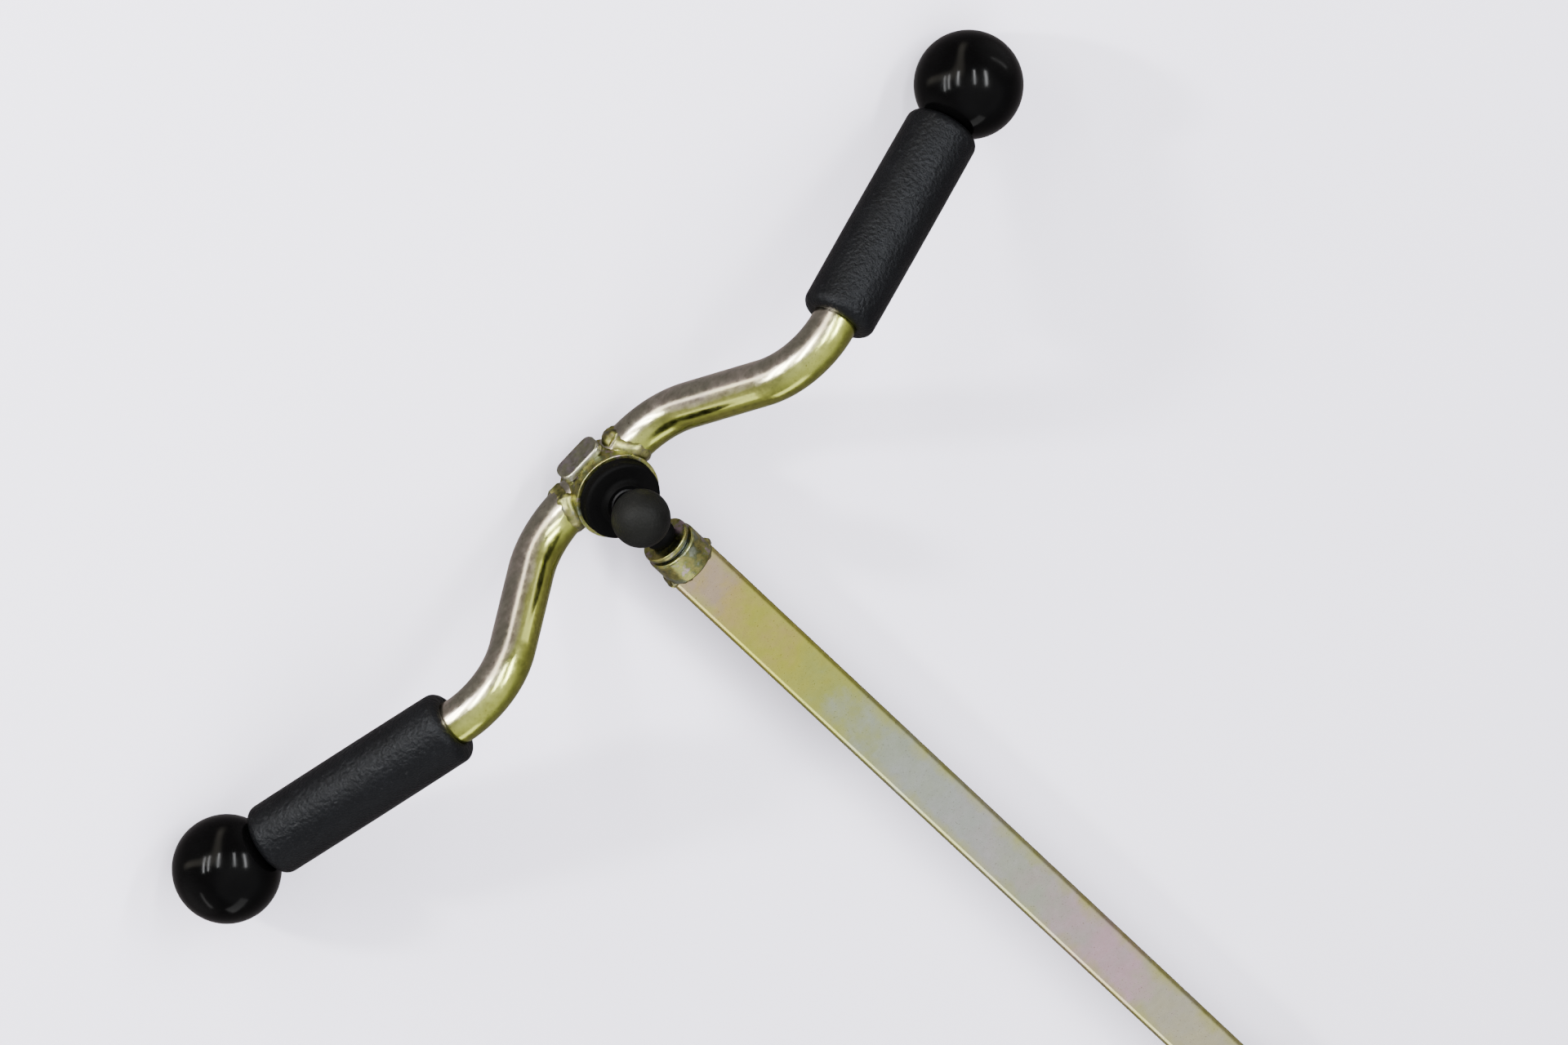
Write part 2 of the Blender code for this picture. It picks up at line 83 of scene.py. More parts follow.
CAP_REAR = -16.3
BAR_WIDTH = 25.4
BAR_THICK = 8.0
BOSS_R = 12.7
BOSS_FROM = 55.3
BOSS_TO = 69.7
SPINDLE_R = 5.0
GUIDE_R = 7.4
GUIDE_TOP = 22.0
COLLAR_R = 11.9
COLLAR_FROM = 50.9
COLLAR_TO = 53.5
DRIVE_R = 19.0
KNOB_R = 13.5
KNOB_FLAT_R = 5.6
KNOB_Z = 37.6
STEM_R = 3.0
GAP = 0.3
SKIN = 0.05

ball_low, ball_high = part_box("right_ball")
HANDLE_Y = (ball_low.y + ball_high.y) / 2 / MM
DRIVE_Y = HANDLE_Y - ARM_LENGTH

ALONG = (0.0, -1.0, 0.0)
UP = (0.0, 0.0, 1.0)


def hub(back, height=0.0, side=0.0):
    """A place near the hub, in millimetres."""
    return Vector((side, HANDLE_Y - back, SPINDLE_Z + height))


# Mesh tools --------------------------------------------------------------------------------

def make_piece(name, verts, faces, smooth_angle=35.0):
    """A mesh object from points in millimetres; edges sharper than the angle stay sharp."""
    mesh = bpy.data.meshes.new(name)
    mesh.from_pydata([tuple(v * MM for v in vert) for vert in verts], [], faces)
    shape = bmesh.new()
    shape.from_mesh(mesh)
    bmesh.ops.remove_doubles(shape, verts=shape.verts, dist=0.000002)
    bmesh.ops.recalc_face_normals(shape, faces=shape.faces)
    limit = math.radians(smooth_angle)
    for edge in shape.edges:
        edge.smooth = len(edge.link_faces) == 2 and edge.calc_face_angle(0.0) < limit
    for face in shape.faces:
        face.smooth = True
    shape.to_mesh(mesh)
    shape.free()
    thing = bpy.data.objects.new(name, mesh)
    bpy.context.scene.collection.objects.link(thing)
    weighted = thing.modifiers.new("flat_faces_stay_flat", "WEIGHTED_NORMAL")
    weighted.keep_sharp = True
    return thing


def frame_of(towards):
    """The given direction as a unit vector, and two more that are square to it and to each other."""
    axis = Vector(towards).normalized()
    helper = Vector((1.0, 0.0, 0.0)) if abs(axis.x) < 0.9 else Vector((0.0, 1.0, 0.0))
    first = axis.cross(helper).normalized()
    return axis, first, axis.cross(first)


def lathe(name, profile, at, towards, closed=False):
    """Turns (radius, height) points about an axis. A closed profile makes a ring."""
    steps = 96
    axis, first, second = frame_of(towards)
    verts = []
    for step in range(steps):
        angle = 2 * math.pi * step / steps
        outward = first * math.cos(angle) + second * math.sin(angle)
        for radius, height in profile:
            verts.append(at + outward * radius + axis * height)
    faces = []
    count = len(profile)
    last = count if closed else count - 1
    for step in range(steps):
        here = step * count
        there = (step + 1) % steps * count
        for i in range(last):
            j = (i + 1) % count
            quad = [here + i, here + j, there + j, there + i]
            if profile[i][0] == 0.0:
                quad = [here + i, here + j, there + j]
            elif profile[j][0] == 0.0:
                quad = [here + i, here + j, there + i]
            faces.append(quad)
    return make_piece(name, verts, faces)


def arc(middle, radius, start, end, steps):
    """Points of an arc in a profile, angles in degrees from the outward direction."""
    points = []
    for step in range(steps + 1):
        angle = math.radians(start + (end - start) * step / steps)
        points.append((middle[0] + radius * math.cos(angle), middle[1] + radius * math.sin(angle)))
    return points


def sweep(name, path, radius, wall, foot):
    """A pipe along a path across the arm. foot(y) gives x where its first end is cut off."""
    sides = 56
    verts = []
    across = Vector((0.0, 1.0, 0.0))
    directions = []
    for i in range(len(path)):
        before = path[max(i - 1, 0)]
        after = path[min(i + 1, len(path) - 1)]
        directions.append((after - before).normalized())
    layers = [(i, radius) for i in range(len(path))]
    layers += [(i, radius - wall) for i in reversed(range(len(path)))]
    for i, ring_radius in layers:
        upward = across.cross(directions[i]).normalized()
        for side in range(sides):
            angle = 2 * math.pi * side / sides
            point = path[i] + (across * math.cos(angle) + upward * math.sin(angle)) * ring_radius
            if i == 0:
                point.x = foot(point.y)
            verts.append(point)
    faces = []
    count = len(layers)
    for layer in range(count):
        for side in range(sides):
            a = layer * sides + side
            b = layer * sides + (side + 1) % sides
            c = (layer + 1) % count * sides + (side + 1) % sides
            d = (layer + 1) % count * sides + side
            faces.append([a, b, c, d])
    return make_piece(name, verts, faces)


def rounded_outline(width, height, corner):
    """Points of a rectangle with round corners."""
    per_corner = 8
    points = []
    for quarter in range(4):
        middle_x = (width / 2 - corner) * (1 if quarter in (0, 3) else -1)
        middle_z = (height / 2 - corner) * (1 if quarter in (0, 1) else -1)
        for step in range(per_corner + 1):
            angle = math.radians(90.0 * (quarter + step / per_corner))
            points.append((middle_x + corner * math.cos(angle), middle_z + corner * math.sin(angle)))
    return points


def loft(name, layers):
    """Joins rings of points, each with the same count, and closes both ends."""
    sides = len(layers[0])
    verts = [point for layer in layers for point in layer]
    faces = []
    for layer in range(len(layers) - 1):
        for side in range(sides):
            following = (side + 1) % sides
            faces.append([layer * sides + side, layer * sides + following,
                          (layer + 1) * sides + following, (layer + 1) * sides + side])
    faces.append(list(range(sides)))
    faces.append([(len(layers) - 1) * sides + side for side in range(sides)])
    return make_piece(name, verts, faces)


def bead(name, path, radius, seed, lump=0.32, pitch=3.0):
    """A weld bead round a closed path, swollen at regular ripples and uneven in between."""
    sides = 14
    points_per_mm = 1.6
    dense = []
    for here, there in zip(path, path[1:] + path[:1]):
        pieces = max(1, int((there - here).length * points_per_mm))
        dense += [here.lerp(there, piece / pieces) for piece in range(pieces)]
    total = len(dense)
    verts = []
    length = 0.0
    for i, point in enumerate(dense):
        after = dense[(i + 1) % total]
        direction = (after - dense[i - 1]).normalized()
        helper = Vector((0.0, 0.0, 1.0)) if abs(direction.z) < 0.9 else Vector((1.0, 0.0, 0.0))
        first = direction.cross(helper).normalized()
        second = direction.cross(first)
        ripple = 0.5 + 0.5 * math.cos(2 * math.pi * length / pitch)
        uneven = noise.noise(point * 0.35 + Vector((seed, seed * 0.7, 3.1)))
        swell = radius * (0.92 + 0.08 * ripple + lump * uneven)
        drift = noise.noise(point * 0.22 + Vector((seed + 9.0, 1.3, seed))) * radius * 0.35
        for side in range(sides):
            angle = 2 * math.pi * side / sides
            out = first * math.cos(angle) + second * math.sin(angle)
            small = noise.noise((point + out * radius) * 0.9 + Vector((seed, 0.0, 0.0))) * radius * 0.10
            verts.append(point + first * drift + out * (swell + small))
        length += (after - point).length
    faces = []
    for i in range(total):
        here = i * sides
        there = (i + 1) % total * sides
        for side in range(sides):
            following = (side + 1) % sides
            faces.append([here + side, here + following, there + following, there + side])
    return make_piece(name, verts, faces, 60.0)


# Materials ---------------------------------------------------------------------------------

def new_material(name):
    """A material with its node tree and its surface shader."""
    material = bpy.data.materials.new(name)
    material.use_nodes = True
    tree = material.node_tree
    return material, tree, tree.nodes["Principled BSDF"]


def ramp(tree, source, stops):
    """A colour that follows a value through (position, colour) stops."""
    node = tree.nodes.new("ShaderNodeValToRGB")
    elements = node.color_ramp.elements
    while len(elements) < len(stops):
        elements.new(0.5)
    for element, (position, colour) in zip(elements, stops):
        element.position = position
        element.color = (*colour, 1.0)
    tree.links.new(source, node.inputs["Fac"])
    return node.outputs["Color"]


def mix(tree, factor, first, second, mode="MIX"):
    """Blends two colours, each a socket or a plain colour."""
    node = tree.nodes.new("ShaderNodeMix")
    node.data_type = "RGBA"
    node.blend_type = mode
    for socket, value in (("Factor", factor), ("A", first), ("B", second)):
        target = next(s for s in node.inputs if s.name == socket and s.enabled)
        if isinstance(value, bpy.types.NodeSocket):
            tree.links.new(value, target)
        elif isinstance(value, (int, float)):
            target.default_value = value
        else:
            target.default_value = (*value, 1.0)
    return next(s for s in node.outputs if s.enabled)


def noise_node(tree, position, scale, detail=3.0, rough=0.6):
    """Noise over the object's own coordinates; its scale is per metre."""
    node = tree.nodes.new("ShaderNodeTexNoise")
    node.inputs["Scale"].default_value = scale
    node.inputs["Detail"].default_value = detail
    node.inputs["Roughness"].default_value = rough
    tree.links.new(position, node.inputs["Vector"])
    return node.outputs["Fac"]


def coordinate(tree, position, axis):
    node = tree.nodes.new("ShaderNodeSeparateXYZ")
    tree.links.new(position, node.inputs["Vector"])
    return node.outputs[axis]


def math_node(tree, operation, *values):
    """Arithmetic on sockets and numbers."""
    node = tree.nodes.new("ShaderNodeMath")
    node.operation = operation
    for socket, value in zip(node.inputs, values):
        if isinstance(value, bpy.types.NodeSocket):
            tree.links.new(value, socket)
        else:
            socket.default_value = value
    return node.outputs["Value"]


def map_range(tree, value, first, last, low=0.0, high=1.0, clamp=True):
    """Maps first..last onto low..high."""
    node = tree.nodes.new("ShaderNodeMapRange")
    node.clamp = clamp
    for socket, number in (("From Min", first), ("From Max", last), ("To Min", low), ("To Max", high)):
        node.inputs[socket].default_value = number
    tree.links.new(value, node.inputs["Value"])
    return node.outputs["Result"]


def bump(tree, shader, height, strength, distance):
    """Raises the surface by a value, up to a distance in metres."""
    node = tree.nodes.new("ShaderNodeBump")
    node.inputs["Strength"].default_value = strength
    node.inputs["Distance"].default_value = distance
    tree.links.new(height, node.inputs["Height"])
    tree.links.new(node.outputs["Normal"], shader.inputs["Normal"])


def uneven_gloss(tree, shader, source, roughness, less, more):
    """Lets the roughness follow a noise around its mean."""
    rough = map_range(tree, source, 0.3, 0.7, roughness - less, roughness + more)
    tree.links.new(rough, shader.inputs["Roughness"])


def along_run(tree, position, broad, run, wander):
    """A share that grows along Y from run's first to its last y and strays with the noise."""
    share = map_range(tree, coordinate(tree, position, "Y"), run[0], run[1], clamp=False)
    stray = math_node(tree, "MULTIPLY_ADD", broad, wander, share)
    return math_node(tree, "SUBTRACT", stray, wander / 2)


def edge_film(tree, position, colour):
    """The yellower film along the flat bar's long edges, with a ragged border. Lengths are in metres."""
    film = (0.50, 0.50, 0.10)
    raggedness = 0.016
    border_from = 0.0145
    border_to = 0.0215
    across = math_node(tree, "ABSOLUTE", coordinate(tree, position, "X"))
    ragged = noise_node(tree, position, 60.0)
    edge = math_node(tree, "MULTIPLY_ADD", ragged, raggedness, across)
    near_edge = map_range(tree, edge, border_from, border_to, high=0.75)
    return mix(tree, near_edge, colour, film)


def plated(name, stops, blotch_scale, roughness, run=None, wander=0.0, edges=False,
           grain=0.10, contrast=0.20):
    """A metal surface with an uneven film, such as yellow passivated zinc.

    run = (first y, last y) lets the colours follow each other along Y instead of lying anyhow, and
    wander is how far they stray; across a pipe a run lays painted highlight and painted reflection
    stripes. edges adds the film along the flat bar's long edges. grain is the strength of the fine
    relief, and contrast that of the fine shading.
    """
    material, tree, shader = new_material(name)
    position = tree.nodes.new("ShaderNodeTexCoord").outputs["Object"]
    film = noise_node(tree, position, blotch_scale, 5.0, 0.64)
    if run:
        film = along_run(tree, position, film, run, wander)
    colour = ramp(tree, film, stops)
    if edges:
        colour = edge_film(tree, position, colour)
    fine = noise_node(tree, position, 260.0, 5.0, 0.62)
    dim = 1.0 - contrast
    shade = ramp(tree, fine, [(0.32, (dim, dim, dim * 0.97)), (0.68, (1.0, 1.0, 1.0))])
    colour = mix(tree, 1.0, colour, shade, "MULTIPLY")
    specks = noise_node(tree, position, 1300.0, 2.0, 0.5)
    dots = ramp(tree, specks, [(0.28, (0.55, 0.52, 0.42)), (0.34, (1.0, 1.0, 1.0))])
    colour = mix(tree, 1.0, colour, dots, "MULTIPLY")
    tree.links.new(colour, shader.inputs["Base Color"])
    shader.inputs["Metallic"].default_value = 1.0
    uneven_gloss(tree, shader, fine, roughness, 0.05, 0.07)
    relief = noise_node(tree, position, 700.0, 4.0)
    bump(tree, shader, relief, grain, 0.00015)
    return material


def moulded(name, colour, roughness, grain_scale, grain_strength, grain_depth, ior,
            dust=0.0, tint=(1.0, 1.0, 1.0)):
    """Rubber or plastic with a fine grain and uneven gloss. dust adds pale motes to the colour."""
    material, tree, shader = new_material(name)
    position = tree.nodes.new("ShaderNodeTexCoord").outputs["Object"]
    darker = tuple(c * 0.72 for c in colour)
    lighter = tuple(c * 1.35 for c in colour)
    base = ramp(tree, noise_node(tree, position, 55.0), [(0.32, darker), (0.68, lighter)])
    if dust:
        motes = noise_node(tree, position, 620.0, 2.0, 0.5)
        mask = ramp(tree, motes, [(0.66, (0.0, 0.0, 0.0)), (0.74, (1.0, 1.0, 1.0))])
        base = mix(tree, mask, base, tuple(c + dust for c in lighter))
    tree.links.new(base, shader.inputs["Base Color"])
    uneven_gloss(tree, shader, noise_node(tree, position, 90.0), roughness, 0.04, 0.06)
    shader.inputs["IOR"].default_value = ior
    shader.inputs["Specular Tint"].default_value = (*tint, 1.0)
    grain = noise_node(tree, position, grain_scale)
    bump(tree, shader, grain, grain_strength, grain_depth)
    return material


# The runs are along Y in metres. On the bar the run goes from boss to drive through the film's colours; on
# the tubes it goes across the pipe and lays a painted highlight stripe and painted reflection beside the
# film.
BAR_RUN = (0.205, -0.24)
TUBE_HIGHLIGHT_RUN = ((HANDLE_Y - TUBE_R) * MM, (HANDLE_Y + TUBE_R) * MM)

bar_zinc = plated("bar_zinc", [
    (0.00, (0.52, 0.40, 0.27)),
    (0.06, (0.54, 0.43, 0.15)),
    (0.15, (0.49, 0.48, 0.08)),
    (0.24, (0.43, 0.46, 0.12)),
    (0.34, (0.43, 0.47, 0.35)),
    (0.44, (0.46, 0.48, 0.43)),
    (0.51, (0.50, 0.48, 0.45)),
    (0.58, (0.46, 0.48, 0.38)),
    (0.67, (0.54, 0.45, 0.43)),
    (0.75, (0.62, 0.43, 0.46)),
    (0.84, (0.52, 0.49, 0.36)),
    (1.00, (0.60, 0.54, 0.30)),
], blotch_scale=40.0, roughness=0.22, run=BAR_RUN, wander=0.36, edges=True, grain=0.03, contrast=0.12)
# Across each pipe, from -Y to +Y: darker olive, then yellow-green film, then a cream painted highlight
# stripe at 0.88, then pinkish grey painted reflection towards the +Y edge.
tube_zinc_painted_highlight = plated("tube_zinc_painted_highlight", [
    (0.05, (0.32, 0.33, 0.13)),
    (0.30, (0.36, 0.39, 0.08)),
    (0.60, (0.41, 0.44, 0.09)),
    (0.80, (0.46, 0.48, 0.14)),
    (0.88, (0.86, 0.80, 0.52)),
    (0.94, (0.62, 0.55, 0.47)),
    (1.00, (0.41, 0.40, 0.31)),
], blotch_scale=55.0, roughness=0.19, run=TUBE_HIGHLIGHT_RUN, wander=0.20, grain=0.05, contrast=0.22)
hub_zinc = plated("hub_zinc", [
    (0.36, (0.40, 0.31, 0.34)),
    (0.44, (0.24, 0.27, 0.08)),
    (0.52, (0.36, 0.33, 0.11)),
    (0.58, (0.20, 0.22, 0.09)),
    (0.66, (0.30, 0.33, 0.24)),
], blotch_scale=105.0, roughness=0.30, grain=0.4, contrast=0.45)
# A lighter, greyer copy of the hub's zinc: painted reflection, so the cap's rear face shows brighter than
# the hub under the same light.
cap_zinc_painted_reflection = plated("cap_zinc_painted_reflection", [
    (0.36, (0.40, 0.36, 0.36)),
    (0.50, (0.33, 0.34, 0.23)),
    (0.66, (0.38, 0.35, 0.31)),
], blotch_scale=105.0, roughness=0.30, grain=0.4, contrast=0.35)
weld_zinc = plated("weld_zinc", [
    (0.34, (0.12, 0.12, 0.06)),
    (0.45, (0.24, 0.25, 0.08)),
    (0.56, (0.32, 0.30, 0.12)),
    (0.68, (0.22, 0.23, 0.17)),
], blotch_scale=190.0, roughness=0.34, grain=0.4, contrast=0.5)
dark_steel = plated("dark_steel", [
    (0.30, (0.10, 0.11, 0.12)),
    (0.50, (0.20, 0.22, 0.23)),
    (0.70, (0.28, 0.28, 0.28)),
], blotch_scale=120.0, roughness=0.32)
black_oxide = plated("black_oxide", [
    (0.30, (0.008, 0.008, 0.008)),
    (0.70, (0.022, 0.022, 0.023)),
], blotch_scale=120.0, roughness=0.48)
bronze = plated("bronze", [
    (0.30, (0.38, 0.22, 0.10)),
    (0.70, (0.58, 0.38, 0.18)),
], blotch_scale=140.0, roughness=0.35)
brass = plated("brass", [
    (0.30, (0.60, 0.42, 0.16)),
    (0.70, (0.78, 0.58, 0.26)),
], blotch_scale=140.0, roughness=0.28)
spring_steel = plated("spring_steel", [
    (0.30, (0.48, 0.48, 0.48)),
    (0.70, (0.66, 0.66, 0.66)),
], blotch_scale=200.0, roughness=0.25)
grip_rubber = moulded(
    "grip_rubber", (0.0012, 0.0013, 0.0015), roughness=0.40, grain_scale=520.0, grain_strength=1.0,
    grain_depth=0.0008, ior=1.215, dust=0.004, tint=(0.96, 0.99, 1.04))
boot_rubber = moulded(
    "boot_rubber", (0.0008, 0.0008, 0.0008), roughness=0.60, grain_scale=900.0, grain_strength=0.4,
    grain_depth=0.0003, ior=1.115)
ball_plastic = moulded(
    "ball_plastic", (0.0006, 0.0006, 0.0006), roughness=0.14, grain_scale=300.0, grain_strength=0.03,
    grain_depth=0.0001, ior=1.145)
knob_plastic = moulded(
    "knob_plastic", (0.0030, 0.0031, 0.0027), roughness=0.52, grain_scale=700.0, grain_strength=0.6,
    grain_depth=0.0006, ior=1.165)


def finish_piece(piece, body, material, slot, *nodes):
    """Paints a piece, lets it ride on its body and hides the CAD nodes it stands for."""
    piece.data.materials.clear()
    piece.data.materials.append(material)
    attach(piece, body)
    if nodes:
        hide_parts(*nodes)


# Handlebar ---------------------------------------------------------------------------------

def bend_points(before, corner, after, radius, count):
    """Points of an arc that rounds off a corner of a path."""
    enter = (corner - before).normalized()
    leave = (after - corner).normalized()
    turn = enter.angle(leave)
    start = corner - enter * radius * math.tan(turn / 2)
    inward = (leave - enter * enter.dot(leave)).normalized()
    middle = start + inward * radius
    points = []
    for step in range(count + 1):
        angle = turn * step / count
        points.append(middle - inward * radius * math.cos(angle) + enter * radius * math.sin(angle))
    return points


def grip_point(distance):
    """A point on the right grip's axis, at a distance from its end knob's centre."""
    return Vector((BALL_X - distance * math.cos(DROOP), 0.0, distance * math.sin(DROOP)))


def tube_path():
    """The right tube's centre line, from the housing's side to the end knob."""
    root = Vector((TUBE_ROOT, 0.0, 0.0))
    low_corner = Vector((RISE_X, 0.0, 0.0))
    climb = math.tan(RISE)
    fall = math.tan(DROOP)
    high_x = (BALL_X * fall + RISE_X * climb) / (climb + fall)
    high_corner = Vector((high_x, 0.0, (high_x - RISE_X) * climb))
    end = grip_point(TUBE_END)
    path = [root]
    path += bend_points(root, low_corner, high_corner, LOW_BEND_R, 20)
    path += bend_points(low_corner, high_corner, end, HIGH_BEND_R, 24)
    straight = 8
    last = path[-1]
    path += [last.lerp(end, step / straight) for step in range(1, straight + 1)]
    return path


def housing_side(y):
    """How far the round housing reaches to the side at a given y."""
    return math.sqrt(HOUSING_R ** 2 - (y - HANDLE_Y + HOUSING_BACK) ** 2)


def make_tube(name, side):
    sunk = 0.6
    path = [Vector((point.x * side, HANDLE_Y, point.z + SPINDLE_Z)) for point in tube_path()]

    def foot(y):
        return side * (housing_side(y) - sunk)

    tube = sweep(name + "_bent_tube", path, TUBE_R, TUBE_WALL, foot)
    finish_piece(tube, "handlebar", tube_zinc_painted_highlight, "zinc", name + "_tube")


def make_grip(name, centre, outward):
    """A rubber grip with round shoulders that is a touch thicker in the middle."""
    rounding = 5.0
    bore = TUBE_R + SKIN
    shoulder = GRIP_R - rounding
    profile = [(bore, -GRIP_OUTER - 0.4), (shoulder, -GRIP_OUTER)]
    profile += arc((shoulder, -GRIP_OUTER - rounding), rounding, 80.0, 0.0, 10)
    for share in (0.15, 0.3, 0.45, 0.6, 0.75, 0.88):
        crown = 0.15 * math.sin(math.pi * share)
        profile.append((GRIP_R + crown, -GRIP_OUTER - (GRIP_INNER - GRIP_OUTER) * share))
    profile += arc((shoulder, -GRIP_INNER + rounding), rounding, 0.0, -90.0, 10)
    profile.append((bore, -GRIP_INNER + 0.3))
    grip = lathe(name + "_rubber_grip", profile, centre, outward, closed=True)
    finish_piece(grip, "handlebar", grip_rubber, "grip_rubber", name + "_grip")


def flat_bottomed_ball(radius, flat_radius, top_angle, steps, middle=0.0):
    """Profile of a ball from near its top down to the flat on its underside."""
    flat = math.degrees(math.asin(flat_radius / radius))
    return arc((0.0, middle), radius, top_angle, -90.0 + flat, steps)


def make_end_knob(name, centre, outward):
    """A ball end with a pocket for its threaded insert."""
    profile = [(0.0, BALL_R)] + flat_bottomed_ball(BALL_R, BALL_FLAT_R, 87.0, 44)
    bottom = profile[-1][1]
    profile += [(BALL_POCKET_R, bottom), (BALL_POCKET_R, 0.0), (0.0, 0.0)]
    ball = lathe(name + "_end_knob", profile, centre, outward)
    finish_piece(ball, "handlebar", ball_plastic, "ball_plastic", name + "_ball")


def make_tube_weld(name, side):
    """The bead round the tube where it meets the housing."""
    steps = 40
    ring_r = TUBE_R - 4.0
    proud = 1.0
    ring = []
    for step in range(steps):
        angle = 2 * math.pi * step / steps
        y = HANDLE_Y + ring_r * math.cos(angle)
        z = SPINDLE_Z + ring_r * math.sin(angle)
        ring.append(Vector((side * (housing_side(y) + proud), y, z)))
    weld = bead(name + "_tube_weld", ring, radius=5.4, seed=4.0 + side, lump=0.26, pitch=3.6)
    finish_piece(weld, "handlebar", weld_zinc, "zinc")


def make_side(name, side):
    """Everything on one side of the hub. side is 1 on the right and -1 on the left."""
    centre = Vector((side * BALL_X, HANDLE_Y, SPINDLE_Z))
    outward = Vector((side * math.cos(DROOP), 0.0, -math.sin(DROOP)))
    make_tube(name, side)
    make_grip(name, centre, outward)
    make_end_knob(name, centre, outward)
    make_tube_weld(name, side)


# Hub ---------------------------------------------------------------------------------------

def along_bar(outline, back):
    """An outline across the arm, set at a distance back from the handlebar's plane."""
    return [hub(back, z, x) for x, z in outline]


def rounded_block(name, insets):
    """A block with the sleeve's section, given as (inset, back) from its rear to its front."""
    layers = []
    for inset, back in insets:
        width = SLEEVE_WIDTH - 2 * inset
        height = SLEEVE_HEIGHT - 2 * inset
        layers.append(along_bar(rounded_outline(width, height, SLEEVE_CORNER - inset), back))
    return loft(name, layers)


def make_housing():
    """The round cup that holds the plunger."""
    rim = 0.4
    foot = 1.4
    hollow = 0.8
    profile = [(0.0, CUP_FLOOR), (CUP_R - hollow, CUP_FLOOR), (CUP_R, CUP_FLOOR + hollow)]
    profile += arc((CUP_R + rim, HOUSING_TOP - rim), rim, 180.0, 90.0, 6)
    profile += arc((HOUSING_R - rim, HOUSING_TOP - rim), rim, 90.0, 0.0, 6)
    profile += arc((HOUSING_R - foot, HOUSING_LOW + foot), foot, 0.0, -90.0, 6)
    profile.append((0.0, HOUSING_LOW))
    housing = lathe("hub_cup", profile, hub(HOUSING_BACK), UP)
    finish_piece(housing, "handlebar", hub_zinc, "zinc", "hub_housing")


def make_sleeve():
    sleeve = rounded_block("hub_body", (
        (1.0, SLEEVE_REAR - 0.1),
        (0.0, SLEEVE_REAR + 0.8),
        (0.0, SLEEVE_FRONT - 0.8),
        (0.35, SLEEVE_FRONT - 0.2),
        (1.0, SLEEVE_FRONT),
    ))
    finish_piece(sleeve, "handlebar", hub_zinc, "zinc", "hub_sleeve")


def make_cap():
    cap = rounded_block("hub_rear_cap", (
        (1.5, CAP_REAR),
        (0.9, CAP_REAR + 0.12),
        (0.35, CAP_REAR + 0.5),
        (0.0, CAP_REAR + 1.2),
        (0.0, SLEEVE_REAR - 1.1),
        (0.6, SLEEVE_REAR - 0.5),
    ))
    finish_piece(cap, "handlebar", cap_zinc_painted_reflection, "zinc", "hub_end_cap")


def make_plunger_boot():
    """The rubber boot: a collar round the guide, a rolled shoulder, and a foot on the cup's rim."""
    bore = GUIDE_R + 0.1
    top = GUIDE_TOP - 0.4
    floor = CUP_FLOOR + GAP
    foot = HOUSING_TOP + 0.2
    profile = [(bore, top), (9.0, top), (9.5, top - 0.5), (9.9, 20.4), (10.6, 19.6), (11.8, 19.25)]
    profile += arc((16.9, 17.5), 1.7, 90.0, -10.0, 10)
    profile += [(18.4, 15.6), (18.4, 14.2), (18.9, foot + 0.3), (18.7, foot)]
    profile += [(17.0, foot), (17.0, floor), (bore, floor)]
    boot = lathe("plunger_dust_boot", profile, hub(HOUSING_BACK), UP, closed=True)
    finish_piece(boot, "handlebar", boot_rubber, "boot_rubber", "plunger_boot")


def make_pull_knob():
    """The plunger's ball-shaped knob, with a pocket for the pin."""
    pocket_r = STEM_R + 0.1
    pocket_top = KNOB_Z - 0.5
    profile = [(0.0, KNOB_Z + KNOB_R)] + flat_bottomed_ball(KNOB_R, KNOB_FLAT_R, 86.0, 36, KNOB_Z)
    bottom = profile[-1][1]
    profile += [(pocket_r, bottom), (pocket_r, pocket_top), (0.0, pocket_top)]
    knob = lathe("plunger_pull_knob", profile, hub(HOUSING_BACK), UP)
    finish_piece(knob, "plunger", knob_plastic, "knob_plastic", "plunger_knob")


# Spindle and arm ---------------------------------------------------------------------------

def make_bellows():
    """The short ribbed boot over the bare stretch of the spindle."""
    start = SLEEVE_FRONT + 1.8
    end = COLLAR_FROM - GAP
    bore = SPINDLE_R + SKIN
    valley = 6.15
    rib = 1.25
    folds = 3
    steps = 12
    fold = (end - start) / folds
    profile = [(bore, end), (valley + 0.25, end)]
    for index in range(folds):
        top = end - fold * index
        for step in range(1, steps):
            share = step / steps
            profile.append((valley + rib * math.sin(math.pi * share) ** 0.8, top - fold * share))
        profile.append((valley, top - fold))
    profile.append((bore, start))
    boot = lathe("spindle_bellows", profile, hub(0.0), ALONG, closed=True)
    finish_piece(boot, "arm", boot_rubber, "boot_rubber", "spindle_boot")


def make_spindle_ring(name, node, outer, start, end, rim, steps):
    """A ring round the spindle with rounded edges, between two distances back along it."""
    bore = SPINDLE_R + SKIN
    profile = [(bore, end)]
    profile += arc((outer - rim, end - rim), rim, 90.0, 0.0, steps)
    profile += arc((outer - rim, start + rim), rim, 0.0, -90.0, steps)
    profile.append((bore, start))
    ring = lathe(name, profile, hub(0.0), ALONG, closed=True)
    finish_piece(ring, "arm", hub_zinc, "zinc", node)


def make_bar():
    corner = 2.8
    into_drive = 1.5
    start = BOSS_TO + GAP
    end = ARM_LENGTH - DRIVE_R + into_drive
    steps = 12
    outline = rounded_outline(BAR_WIDTH, BAR_THICK, corner)
    layers = [along_bar(outline, start + (end - start) * step / steps) for step in range(steps + 1)]
    bar = loft("flat_arm", layers)
    finish_piece(bar, "arm", bar_zinc, "zinc", "arm_bar")


